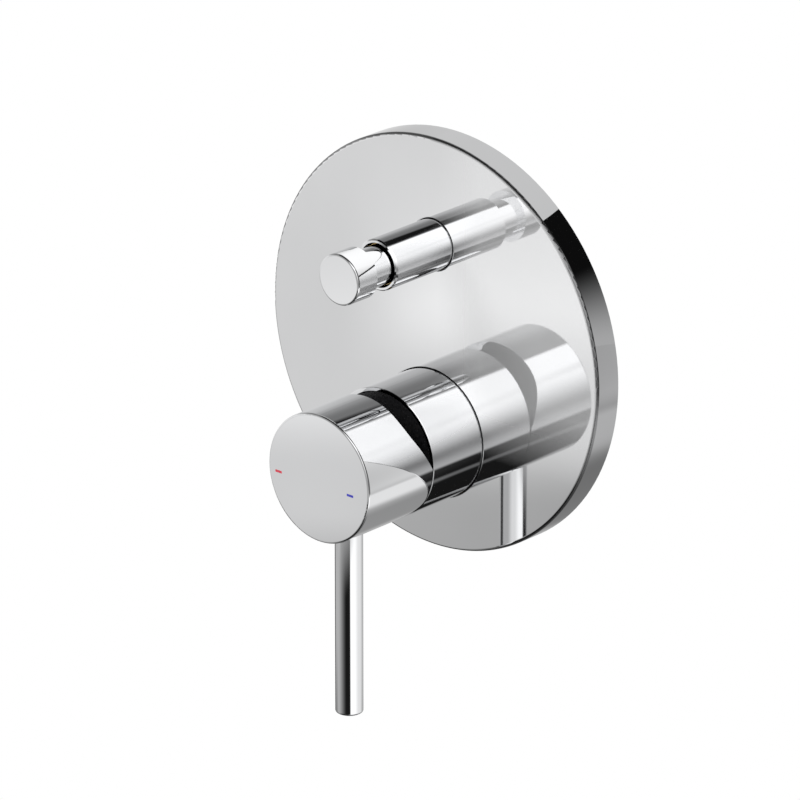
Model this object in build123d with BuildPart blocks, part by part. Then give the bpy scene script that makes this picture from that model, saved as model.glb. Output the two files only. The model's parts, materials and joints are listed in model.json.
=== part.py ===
from build123d import *
import math
import os

# A concealed mixer with a diverter: a round wall plate, a lever-worked mixing cartridge below
# and a pull-out diverter above, on one brass body that is built into the wall.
# Millimetres. X is to the right, Y goes into the wall and Z is up. The origin is the middle of
# the plate, on the face of the finished wall. "Out" is the distance from that face towards the
# room, and it is negative inside the wall.

# Wall plate
plate_d = 150.0
plate_depth = 11.0
plate_wall = 1.8
plate_edge_r = 1.2
hole_edge_r = 0.4
collar_wall = 2.9
collar_depth = 3.4
foam_width = 6.0

# Places of the two controls on the plate
mixer_z = -33.0
diverter_z = 36.4

# Clearances
running_fit = 0.05
thread_fit = 0.05
seal_fit = 0.05
hand_fit = 0.2
seat_gap = 0.1
sliding_gap = 0.3

# Round seals, by the width of the groove that holds them
seal_room = 0.4

# Mixer sleeve
sleeve_d = 46.6
sleeve_wall = 1.5
sleeve_front = 36.0
sleeve_edge = 0.2

# Handle
handle_front = 69.0
handle_wall = 2.8
handle_face_wall = 4.0
handle_edge_r = 0.8
handle_gap = 0.6
wedge_angle = 29.0
wedge_depth = 8.6
wedge_round_r = 20.0
handle_boss_d = 17.0
handle_boss_length = 18.0
mark_length = 3.0
mark_width = 0.9
mark_depth = 0.4
mark_x = 16.6
mark_aside = -2.0
mark_up = -2.3

# Lever
lever_d = 9.8
lever_out = 53.7
lever_tip_z = -124.5
lever_edge_r = 0.8
lever_sink = 3.0
lever_thread_d = 8.0
lever_thread_length = 8.0
lever_boss_d = 15.0
grub_screw_d = 5.0
grub_socket_width = 2.5
grub_socket_depth = 3.0

# Cartridge spindle, and the rotor that carries it
pivot_set_back = 2.0
pivot_height = 13.1
spindle_width = 8.0
spindle_length = 26.0
spindle_shoulder = 4.0
spindle_limb_d = 4.2
ball_d = 6.4
lever_lift = 20.0
pivot_pin_d = 4.0
rotor_d = 19.4
rotor_flange = 3.0
rotor_proud = 0.8
pin_end_gap = 0.5

# Ceramic discs and the plastic parts round them
moving_disc_d = 18.4
moving_disc = 4.8
chamber_d = 7.2
chamber_up = 2.4
chamber_depth = 3.0
coupler = 3.8
tongue_width = 9.6
tongue_length = 12.0
tongue_height = 1.6
coupler_floor = 0.8
fixed_disc = 4.0
base = 4.0
inlet_port_d = 4.0
inlet_port_x = 4.0
inlet_port_up = -4.6
outlet_port_d = 5.2
outlet_port_up = 0.6
port_seal_wall = 0.7
port_seal_depth = 1.0
peg_d = 3.0
peg_length = 3.0
peg_x = 11.0
cartridge_d = 34.8
housing_roof = 2.0
neck_d = 24.0
neck_length = 12.0

# Cartridge nut
nut_thread_d = 37.4
nut_thread_length = 5.0
nut_hex = 32.0
nut_hex_height = 3.5

# Cover over the nut
cover_wall = 1.0
cover_skirt = 1.6

# Diverter sleeve and knob
diverter_sleeve_d = 18.4
diverter_sleeve_wall = 1.2
diverter_sleeve_front = 39.0
diverter_sleeve_edge = 0.5
knob_d = 18.4
knob_front = 58.6
knob_length = 9.6
knob_edge_r = 0.8
knob_neck_d = 14.2
knob_neck_length = 19.0
diverter_travel = 5.5

# Diverter bonnet, stem and spring
bonnet_thread_d = 18.0
bonnet_thread_length = 6.0
bonnet_hex = 18.0
bonnet_hex_height = 3.0
bonnet_tube_d = 15.2
bonnet_front = 24.0
spring_room_d = 11.2
gland_thread_d = 12.2
gland_thread_length = 4.0
gland_flange_d = 14.0
gland_flange = 1.5
stem_d = 6.0
stem_tail_d = 4.0
stem_grip = 12.0
stem_collar_d = 10.4
stem_collar = 2.0
spring_d = 9.0
spring_wire_d = 0.9
spring_turns = 6

# Diverter cage and the two valve washers
cage_d = 14.8
cage_bore_d = 11.6
cage_seat_d = 7.2
seat_web = 2.5
inflow_room = 5.0
outflow_room = 8.0
cage_window_d = 4.0
cage_windows = 4
washer_d = 10.4
washer = 1.2
poppet = 1.1
poppet_nut = 1.5
chamber_end_gap = 0.6

# Brass body
hub_front = 2.0
body_back = -33.0
cast_edge_r = 1.0
mixer_hub_d = 48.0
barrel_gap = 0.9
diverter_hub_d = 23.0
bridge_width = 18.0
bridge_front = -9.0
port_out = -16.0
port_boss_d = 25.6
port_thread_d = 20.96
port_edge = 0.8
inlet_reach = 41.0
inlet_thread_length = 15.0
gallery_d = 6.4
riser_d = 4.4
riser_out = -17.0
shower_way_d = 4.4
bath_way_d = 6.0
bath_way_out = -25.0
ear_spacing = 56.0
ear_width = 13.0
ear_thickness = 5.0
ear_hole_d = 5.5
ear_z = 4.0

# Outlet sockets, turned and brazed onto flat seats of the body
socket_d = 25.0
socket_edge = 0.6
seat_land = 0.4
bath_socket_out = -20.0
bath_socket_length = 14.0
shower_socket_out = -12.0
shower_socket_length = 9.0

# Sections of the round seals
sleeve_seal = 1.9
plate_seal = 1.8
stem_seal = 1.4
cage_seal = 1.25
bonnet_seal = 1.2

# Radii and places that follow from the sizes above
plate_r = plate_d / 2
plate_inside = plate_depth - plate_wall
sleeve_r = sleeve_d / 2
sleeve_bore_r = sleeve_r - sleeve_wall
handle_r = sleeve_r
handle_back = sleeve_front + handle_gap
handle_inside = handle_front - handle_face_wall
boss_back = handle_inside - handle_boss_length
lever_r = lever_d / 2
lever_shoulder_z = mixer_z - handle_r + lever_sink
lever_end_z = lever_shoulder_z + lever_thread_length
lever_hole_end_z = lever_end_z + seat_gap
spindle_bottom_z = mixer_z - spindle_width / 2

pivot_out = sleeve_front - pivot_set_back
rotor_foot = pivot_out - pivot_height
rotor_shoulder = rotor_foot + rotor_flange
housing_inside = rotor_shoulder + seat_gap
housing_shoulder = housing_inside + housing_roof
neck_top = housing_shoulder + neck_length
coupler_top = rotor_foot - sliding_gap
moving_disc_top = coupler_top - coupler
fixed_disc_top = moving_disc_top - moving_disc
base_top = fixed_disc_top - fixed_disc
cartridge_seat = base_top - base
ball_out = moving_disc_top + coupler_floor + sliding_gap + ball_d / 2
ball_drop = pivot_out - ball_out
lift_angle = math.radians(lever_lift)
disc_travel = ball_drop * lift_angle
spindle_end = pivot_out + spindle_length
cartridge_r = cartridge_d / 2
skirt_bore_r = moving_disc_d / 2 + disc_travel + sliding_gap
chamber_r = cartridge_r + seat_gap
barrel_r = sleeve_bore_r - barrel_gap
barrel_front = housing_shoulder + nut_thread_length

diverter_sleeve_r = diverter_sleeve_d / 2
diverter_sleeve_bore_r = diverter_sleeve_r - diverter_sleeve_wall
diverter_sleeve_back = hub_front + bonnet_hex_height
knob_back = knob_front - knob_length
knob_foot = knob_back - knob_neck_length
stem_front = knob_foot + stem_grip
bonnet_back = hub_front - bonnet_thread_length
spring_floor = hub_front
gland_back = bonnet_front - gland_thread_length
collar_back = spring_floor + hand_fit
collar_front = collar_back + stem_collar
shower_seat = bonnet_back - outflow_room
inflow_front = shower_seat - seat_web
inflow_back = inflow_front - inflow_room
bath_seat = inflow_back - seat_web
front_washer_back = shower_seat + seal_fit
front_washer_front = front_washer_back + washer
front_poppet_front = front_washer_front + poppet
rear_washer_front = bath_seat - diverter_travel - seal_fit
rear_washer_back = rear_washer_front - washer
stem_back = rear_washer_back - poppet_nut
diverter_chamber_back = stem_back - chamber_end_gap
cage_back = diverter_chamber_back + seat_gap
cage_chamber_r = cage_d / 2 + seat_gap


def facing(axis_z, out=0.0):
    """A plane across a control's axis: x is right, y is up, and extruding goes to the room."""
    return Plane(origin=(0, -out, axis_z), x_dir=(1, 0, 0), z_dir=(0, -1, 0))


def half_section(axis_z):
    """The plane of a turned profile: x is the distance out of the wall, y is the radius."""
    return Plane(origin=(0, 0, axis_z), x_dir=(0, -1, 0), z_dir=(-1, 0, 0))


def turning_axis(axis_z):
    """A control's axis, square to the wall."""
    return Axis((0, 0, axis_z), (0, -1, 0))


def crosswise(out, axis_z):
    """A plane across the X direction, for pins and ports that run left to right."""
    return Plane(origin=(0, -out, axis_z), x_dir=(0, -1, 0), z_dir=(1, 0, 0))


def upright(out, z):
    """A level plane, for the lever and for ports that run up and down."""
    return Plane(origin=(0, -out, z), x_dir=(1, 0, 0), z_dir=(0, 0, 1))


def band(out_from, out_to, inner_r, outer_r, mode=Mode.ADD):
    """One step of a turned profile, between two places on its axis and two radii."""
    with Locations(((out_from + out_to) / 2, (inner_r + outer_r) / 2)):
        Rectangle(abs(out_to - out_from), outer_r - inner_r, mode=mode)


def o_ring(axis_z, out, inner_r, outer_r):
    """A round seal between two walls, as it sits when it is squeezed."""
    with BuildPart() as ring:
        with BuildSketch(half_section(axis_z)):
            with Locations((out, (inner_r + outer_r) / 2)):
                Circle((outer_r - inner_r) / 2 - seal_fit)
        revolve(axis=turning_axis(axis_z))
    return ring


def washer_disc(axis_z, out_back, thickness, inner_r, outer_r):
    """A flat round washer."""
    with BuildPart() as disc:
        with BuildSketch(half_section(axis_z)):
            band(out_back, out_back + thickness, inner_r, outer_r)
        revolve(axis=turning_axis(axis_z))
    return disc


# Wall plate: a drawn cup with a stiff ring behind each hole, grooved for its seal
mixer_hole_r = sleeve_r + hand_fit
diverter_hole_r = diverter_sleeve_r + hand_fit
ring_back = plate_inside - collar_depth
plate_seal_out = plate_inside - collar_depth / 2
plate_groove = plate_seal + seal_room
with BuildPart() as wall_plate:
    with BuildSketch(half_section(0)):
        band(0, plate_depth, 0, plate_r)
        band(0, plate_inside, 0, plate_r - plate_wall, mode=Mode.SUBTRACT)
    revolve(axis=turning_axis(0))
    fillet(wall_plate.edges().group_by(Axis.Y)[0], plate_edge_r)
    for hole_z, hole_r, sleeve_outer_r in (
        (mixer_z, mixer_hole_r, sleeve_r),
        (diverter_z, diverter_hole_r, diverter_sleeve_r),
    ):
        with BuildSketch(facing(hole_z, ring_back)):
            Circle(hole_r + collar_wall)
        extrude(amount=collar_depth)
        with BuildSketch(facing(hole_z, ring_back)):
            Circle(hole_r)
        extrude(amount=collar_depth + plate_wall, mode=Mode.SUBTRACT)
        with BuildSketch(half_section(hole_z)):
            band(
                plate_seal_out - plate_groove / 2,
                plate_seal_out + plate_groove / 2,
                hole_r,
                sleeve_outer_r + plate_seal,
            )
        revolve(axis=turning_axis(hole_z), mode=Mode.SUBTRACT)
    hole_rims = wall_plate.edges().group_by(Axis.Y)[0].sort_by(SortBy.RADIUS)[:2]
    fillet(hole_rims, hole_edge_r)

# Foam ring that seals the plate to the wall, and the seals that hold the plate on the sleeves
with BuildPart() as wall_seal:
    with BuildSketch(half_section(0)):
        foam_outer_r = plate_r - plate_wall - seal_fit
        band(0, plate_inside, foam_outer_r - foam_width, foam_outer_r)
    revolve(axis=turning_axis(0))
plate_mixer_seal = o_ring(mixer_z, plate_seal_out, sleeve_r, sleeve_r + plate_seal)
plate_diverter_seal = o_ring(
    diverter_z, plate_seal_out, diverter_sleeve_r, diverter_sleeve_r + plate_seal
)

# Mixer sleeve: a tube that stands on the brass hub and hides the cartridge
with BuildPart() as mixer_sleeve:
    with BuildSketch(half_section(mixer_z)):
        band(hub_front, sleeve_front, sleeve_bore_r, sleeve_r)
    revolve(axis=turning_axis(mixer_z))
    chamfer(mixer_sleeve.edges().group_by(Axis.Y)[0], sleeve_edge)
barrel_seal_out = (hub_front + barrel_front) / 2
barrel_groove_r = sleeve_bore_r - sleeve_seal
sleeve_o_ring = o_ring(mixer_z, barrel_seal_out, barrel_groove_r, sleeve_bore_r)

# Handle: a cast cup with a boss for the spindle, a boss for the lever, and a back that is cut
# away above the middle, so that its top can tip towards the wall
wedge_run = wedge_depth / math.tan(math.radians(wedge_angle))
with BuildPart() as handle_cap:
    with BuildSketch(half_section(mixer_z)):
        band(handle_back, handle_front, 0, handle_r)
        band(handle_back, handle_inside, 0, handle_r - handle_wall, mode=Mode.SUBTRACT)
        band(boss_back, handle_inside, 0, handle_boss_d / 2)
    revolve(axis=turning_axis(mixer_z))
    with BuildSketch(upright(lever_out, mixer_z)):
        Circle(lever_boss_d / 2)
    extrude(amount=-(handle_r - handle_wall / 2))
    fillet(handle_cap.edges().group_by(Axis.Y)[0], handle_edge_r)
    with BuildSketch(half_section(mixer_z)) as wedge:
        with BuildLine():
            Polyline(
                (handle_back, 0),
                (handle_back + wedge_depth, wedge_run),
                (handle_back + wedge_depth, handle_r),
                (handle_back, handle_r),
                close=True,
            )
        make_face()
        fillet(wedge.vertices().sort_by(Axis.X)[-2:].sort_by(Axis.Y)[0], wedge_round_r)
    extrude(amount=handle_r, both=True, mode=Mode.SUBTRACT)
    with BuildSketch(facing(mixer_z, handle_back)):
        Rectangle(spindle_width + hand_fit, spindle_width + hand_fit)
    extrude(amount=spindle_end + seat_gap - handle_back, mode=Mode.SUBTRACT)
    with BuildSketch(upright(lever_out, mixer_z - handle_r)):
        Circle(lever_r + running_fit)
    extrude(amount=lever_sink, mode=Mode.SUBTRACT)
    with BuildSketch(upright(lever_out, mixer_z - handle_r)):
        Circle(lever_thread_d / 2 + thread_fit)
    extrude(amount=lever_hole_end_z - mixer_z + handle_r, mode=Mode.SUBTRACT)
    with BuildSketch(upright(lever_out, lever_hole_end_z)):
        Circle(grub_screw_d / 2 + thread_fit)
    extrude(amount=mixer_z - lever_hole_end_z, mode=Mode.SUBTRACT)
    with BuildSketch(facing(mixer_z, handle_front - mark_depth)):
        with Locations((mark_aside - mark_x, mark_up), (mark_aside + mark_x, mark_up)):
            Rectangle(mark_length, mark_width)
    extrude(amount=mark_depth, mode=Mode.SUBTRACT)


def colour_mark(x):
    """One enamel bar, flush in its pocket on the handle's face."""
    with BuildPart() as mark:
        with BuildSketch(facing(mixer_z, handle_front - mark_depth)):
            with Locations((x, mark_up)):
                Rectangle(mark_length, mark_width)
        extrude(amount=mark_depth)
    return mark


hot_mark = colour_mark(mark_aside - mark_x)
cold_mark = colour_mark(mark_aside + mark_x)

# Lever pin, and the grub screw above it that clamps the handle to the spindle
with BuildPart() as lever_pin:
    with BuildSketch(upright(lever_out, lever_tip_z)):
        Circle(lever_r)
    extrude(amount=lever_shoulder_z - lever_tip_z)
    fillet(lever_pin.edges().group_by(Axis.Z)[0], lever_edge_r)
    with BuildSketch(upright(lever_out, lever_shoulder_z)):
        Circle(lever_thread_d / 2)
    extrude(amount=lever_thread_length)
with BuildPart() as handle_grub_screw:
    with BuildSketch(upright(lever_out, lever_hole_end_z)):
        Circle(grub_screw_d / 2)
    extrude(amount=spindle_bottom_z - lever_hole_end_z)
    with BuildSketch(upright(lever_out, lever_hole_end_z)):
        RegularPolygon(grub_socket_width / 2, 6, major_radius=False)
    extrude(amount=grub_socket_depth, mode=Mode.SUBTRACT)

# Spindle: a square bar above its pivot, and a round limb that ends in a ball below it
with BuildPart() as cartridge_spindle:
    with BuildSketch(facing(mixer_z, pivot_out - spindle_shoulder)):
        Rectangle(spindle_width, spindle_width)
    extrude(amount=spindle_end - pivot_out + spindle_shoulder)
    with BuildSketch(facing(mixer_z, ball_out)):
        Circle(spindle_limb_d / 2)
    extrude(amount=ball_drop - spindle_shoulder)
    with Locations((0, -ball_out, mixer_z)):
        Sphere(ball_d / 2)
    with BuildSketch(crosswise(pivot_out, mixer_z)):
        Circle(pivot_pin_d / 2 + running_fit)
    extrude(amount=spindle_width, both=True, mode=Mode.SUBTRACT)

# Rotor: turns in the cartridge's neck, carries the pivot pin and guides the coupler
rotor_r = rotor_d / 2
rotor_flange_r = skirt_bore_r - sliding_gap
rotor_front = neck_top + rotor_proud
slot_down = ball_drop * math.sin(lift_angle) + ball_d / 2 + sliding_gap
slot_up = (
    (rotor_front - pivot_out) * math.tan(lift_angle)
    + spindle_width / 2 / math.cos(lift_angle)
    + sliding_gap
)
pin_length = 2 * math.sqrt(rotor_r**2 - (pivot_pin_d / 2) ** 2) - 2 * pin_end_gap
with BuildPart() as cartridge_rotor:
    with BuildSketch(half_section(mixer_z)):
        band(rotor_foot, rotor_front, 0, rotor_r)
        band(rotor_foot, rotor_shoulder, 0, rotor_flange_r)
    revolve(axis=turning_axis(mixer_z))
    with BuildSketch(facing(mixer_z, rotor_foot)):
        with Locations((0, (slot_up - slot_down) / 2)):
            Rectangle(spindle_width + 2 * sliding_gap, slot_up + slot_down)
    extrude(amount=rotor_front - rotor_foot, mode=Mode.SUBTRACT)
    with BuildSketch(facing(mixer_z, rotor_foot)):
        Rectangle(tongue_width + 2 * running_fit, 2 * rotor_flange_r)
    extrude(amount=tongue_height, mode=Mode.SUBTRACT)
    with BuildSketch(crosswise(pivot_out, mixer_z)):
        Circle(pivot_pin_d / 2)
    extrude(amount=rotor_r, both=True, mode=Mode.SUBTRACT)
with BuildPart() as spindle_pin:
    with BuildSketch(crosswise(pivot_out, mixer_z)):
        Circle(pivot_pin_d / 2)
    extrude(amount=pin_length / 2, both=True)

# Coupler: takes the spindle's ball and pushes the moving disc along the rotor's groove
ball_room_r = ball_d / 2 + sliding_gap
with BuildPart() as disc_coupler:
    with BuildSketch(facing(mixer_z, moving_disc_top)):
        Circle(moving_disc_d / 2)
    extrude(amount=coupler)
    with BuildSketch(facing(mixer_z, coupler_top)):
        Rectangle(tongue_width, tongue_length)
    extrude(amount=tongue_height)
    with BuildSketch(facing(mixer_z, moving_disc_top + coupler_floor)):
        Circle(ball_room_r)
    extrude(amount=coupler + tongue_height, mode=Mode.SUBTRACT)

# Moving disc: its hollow joins the outlet to the inlets when it slides down
with BuildPart() as moving_ceramic_disc:
    with BuildSketch(facing(mixer_z, fixed_disc_top)):
        Circle(moving_disc_d / 2)
    extrude(amount=moving_disc)
    with BuildSketch(facing(mixer_z, fixed_disc_top)):
        with Locations((0, chamber_up)):
            Circle(chamber_d / 2)
    extrude(amount=chamber_depth, mode=Mode.SUBTRACT)

# The three water ways run straight through the fixed disc and the base
water_ways = (
    (-inlet_port_x, inlet_port_up, inlet_port_d / 2),
    (inlet_port_x, inlet_port_up, inlet_port_d / 2),
    (0, outlet_port_up, outlet_port_d / 2),
)
with BuildPart() as fixed_ceramic_disc:
    with BuildSketch(facing(mixer_z, base_top)):
        Circle(skirt_bore_r - hand_fit)
        for port_x, port_up, port_r in water_ways:
            with Locations((port_x, port_up)):
                Circle(port_r, mode=Mode.SUBTRACT)
    extrude(amount=fixed_disc)
with BuildPart() as cartridge_base:
    with BuildSketch(facing(mixer_z, cartridge_seat)):
        Circle(cartridge_r)
        for port_x, port_up, port_r in water_ways:
            with Locations((port_x, port_up)):
                Circle(port_r, mode=Mode.SUBTRACT)
    extrude(amount=base)
    with BuildSketch(facing(mixer_z, cartridge_seat)):
        for port_x, port_up, port_r in water_ways:
            with Locations((port_x, port_up)):
                Circle(port_r + port_seal_wall)
    extrude(amount=port_seal_depth, mode=Mode.SUBTRACT)
    with BuildSketch(facing(mixer_z, cartridge_seat)):
        with Locations((-peg_x, 0), (peg_x, 0)):
            Circle(peg_d / 2)
    extrude(amount=-peg_length)
with BuildPart() as base_seals:
    for port_x, port_up, port_r in water_ways:
        with BuildSketch(facing(mixer_z, cartridge_seat)):
            with Locations((port_x, port_up)):
                Circle(port_r + port_seal_wall)
                Circle(port_r, mode=Mode.SUBTRACT)
        extrude(amount=port_seal_depth)

# Cartridge housing, and the nut that holds it down in the brass barrel
neck_r = neck_d / 2
with BuildPart() as cartridge_housing:
    with BuildSketch(half_section(mixer_z)):
        band(base_top, housing_shoulder, skirt_bore_r, cartridge_r)
        band(housing_inside, housing_shoulder, rotor_r + running_fit, cartridge_r)
        band(housing_shoulder, neck_top, rotor_r + running_fit, neck_r)
    revolve(axis=turning_axis(mixer_z))
with BuildPart() as cartridge_nut:
    with BuildSketch(facing(mixer_z, housing_shoulder)):
        Circle(nut_thread_d / 2)
    extrude(amount=nut_thread_length)
    with BuildSketch(facing(mixer_z, barrel_front)):
        RegularPolygon(nut_hex / 2, 6, major_radius=False)
    extrude(amount=nut_hex_height)
    with BuildSketch(facing(mixer_z, housing_shoulder)):
        Circle(neck_r + hand_fit)
    extrude(amount=nut_thread_length + nut_hex_height, mode=Mode.SUBTRACT)

# Cartridge cover: a moulded cap on the barrel's front that closes the sleeve round the neck
cover_inside = barrel_front + nut_hex_height + seat_gap
cover_front = cover_inside + cover_wall
cover_r = sleeve_bore_r - hand_fit
with BuildPart() as cartridge_cover:
    with BuildSketch(half_section(mixer_z)):
        band(barrel_front + seat_gap, cover_front, cover_r - cover_skirt, cover_r)
        band(cover_inside, cover_front, neck_r + hand_fit, cover_r)
    revolve(axis=turning_axis(mixer_z))

# Diverter sleeve: stands on the bonnet's hexagon
with BuildPart() as diverter_sleeve:
    with BuildSketch(half_section(diverter_z)):
        band(diverter_sleeve_back, diverter_sleeve_front, diverter_sleeve_bore_r, diverter_sleeve_r)
    revolve(axis=turning_axis(diverter_z))
    chamfer(
        diverter_sleeve.edges().group_by(Axis.Y)[0].sort_by(SortBy.RADIUS)[-1],
        diverter_sleeve_edge,
    )

# Bonnet: screwed into the body, with room for the spring and a groove for each seal
stem_r = stem_d / 2
bonnet_tube_r = bonnet_tube_d / 2
stem_seal_out = (bonnet_back + spring_floor) / 2
bonnet_seal_out = (diverter_sleeve_back + gland_back) / 2
bonnet_groove_r = diverter_sleeve_bore_r - bonnet_seal
with BuildPart() as diverter_bonnet:
    with BuildSketch(half_section(diverter_z)):
        band(bonnet_back, hub_front, stem_r + running_fit, bonnet_thread_d / 2)
        band(spring_floor, bonnet_front, spring_room_d / 2, bonnet_tube_r)
        band(
            gland_back,
            bonnet_front,
            spring_room_d / 2,
            gland_thread_d / 2 + thread_fit,
            mode=Mode.SUBTRACT,
        )
        band(
            stem_seal_out - (stem_seal + seal_room) / 2,
            stem_seal_out + (stem_seal + seal_room) / 2,
            stem_r,
            stem_r + stem_seal,
            mode=Mode.SUBTRACT,
        )
        band(
            bonnet_seal_out - (bonnet_seal + seal_room) / 2,
            bonnet_seal_out + (bonnet_seal + seal_room) / 2,
            bonnet_groove_r,
            bonnet_tube_r,
            mode=Mode.SUBTRACT,
        )
    revolve(axis=turning_axis(diverter_z))
    with BuildSketch(facing(diverter_z, hub_front)):
        RegularPolygon(bonnet_hex / 2, 6, major_radius=False)
        Circle(spring_room_d / 2, mode=Mode.SUBTRACT)
    extrude(amount=bonnet_hex_height)
diverter_sleeve_seal = o_ring(diverter_z, bonnet_seal_out, bonnet_groove_r, diverter_sleeve_bore_r)
diverter_stem_seal = o_ring(diverter_z, stem_seal_out, stem_r, stem_r + stem_seal)
with BuildPart() as bonnet_gland:
    with BuildSketch(half_section(diverter_z)):
        band(gland_back, bonnet_front, stem_r + running_fit, gland_thread_d / 2)
        band(bonnet_front, bonnet_front + gland_flange, stem_r + running_fit, gland_flange_d / 2)
    revolve(axis=turning_axis(diverter_z))

# Knob, and the stem that carries it and both valve washers
with BuildPart() as diverter_knob:
    with BuildSketch(half_section(diverter_z)):
        band(knob_back, knob_front, 0, knob_d / 2)
        band(knob_foot, knob_back, 0, knob_neck_d / 2)
        band(knob_foot, stem_front + seat_gap, 0, stem_r + thread_fit, mode=Mode.SUBTRACT)
    revolve(axis=turning_axis(diverter_z))
    fillet(diverter_knob.edges().group_by(Axis.Y)[0], knob_edge_r)
with BuildPart() as diverter_stem:
    with BuildSketch(half_section(diverter_z)):
        band(front_poppet_front, stem_front, 0, stem_r)
        band(stem_back, front_poppet_front, 0, stem_tail_d / 2)
        band(collar_back, collar_front, 0, stem_collar_d / 2)
    revolve(axis=turning_axis(diverter_z))
tail_hole_r = stem_tail_d / 2 + thread_fit
front_poppet = washer_disc(diverter_z, front_washer_front, poppet, tail_hole_r, washer_d / 2)
front_washer = washer_disc(diverter_z, front_washer_back, washer, tail_hole_r, washer_d / 2)
rear_washer = washer_disc(diverter_z, rear_washer_back, washer, tail_hole_r, washer_d / 2)
rear_poppet_nut = washer_disc(diverter_z, stem_back, poppet_nut, tail_hole_r, washer_d / 2)

# Return spring, between the stem's collar and the gland
wire_r = spring_wire_d / 2
spring_back = collar_front + wire_r + seat_gap
spring_length = gland_back - wire_r - seat_gap - spring_back
with BuildPart() as return_spring:
    with BuildLine():
        coil = Helix(
            pitch=spring_length / spring_turns,
            height=spring_length,
            radius=spring_d / 2,
            center=(0, -spring_back, diverter_z),
            direction=(0, -1, 0),
        )
    with BuildSketch(Plane(coil @ 0, z_dir=coil % 0)):
        Circle(wire_r)
    sweep(path=coil, is_frenet=True)

# Diverter cage: a moulded sleeve with two seats and three rows of windows
cage_r = cage_d / 2
cage_bore_r = cage_bore_d / 2
cage_seal_outs = ((shower_seat + inflow_front) / 2, (inflow_back + bath_seat) / 2)
shower_way_out = (bonnet_back + shower_seat) / 2
with BuildPart() as diverter_cage:
    with BuildSketch(half_section(diverter_z)):
        band(cage_back, bonnet_back, cage_seat_d / 2, cage_r)
        for room_back, room_front in (
            (shower_seat, bonnet_back),
            (inflow_back, inflow_front),
            (cage_back, bath_seat),
        ):
            band(room_back, room_front, cage_seat_d / 2, cage_bore_r, mode=Mode.SUBTRACT)
        for seal_out in cage_seal_outs:
            band(
                seal_out - (cage_seal + seal_room) / 2,
                seal_out + (cage_seal + seal_room) / 2,
                cage_chamber_r - cage_seal,
                cage_r,
                mode=Mode.SUBTRACT,
            )
    revolve(axis=turning_axis(diverter_z))
    for window_out in (shower_way_out, riser_out, bath_way_out):
        for turn in range(cage_windows // 2):
            with BuildSketch(upright(window_out, diverter_z).rotated((0, turn * 90, 0))):
                Circle(cage_window_d / 2)
            extrude(amount=cage_r, both=True, mode=Mode.SUBTRACT)
with BuildPart() as cage_seals:
    for seal_out in cage_seal_outs:
        with BuildSketch(half_section(diverter_z)):
            with Locations((seal_out, cage_chamber_r - cage_seal / 2)):
                Circle(cage_seal / 2 - seal_fit)
        revolve(axis=turning_axis(diverter_z))

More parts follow.
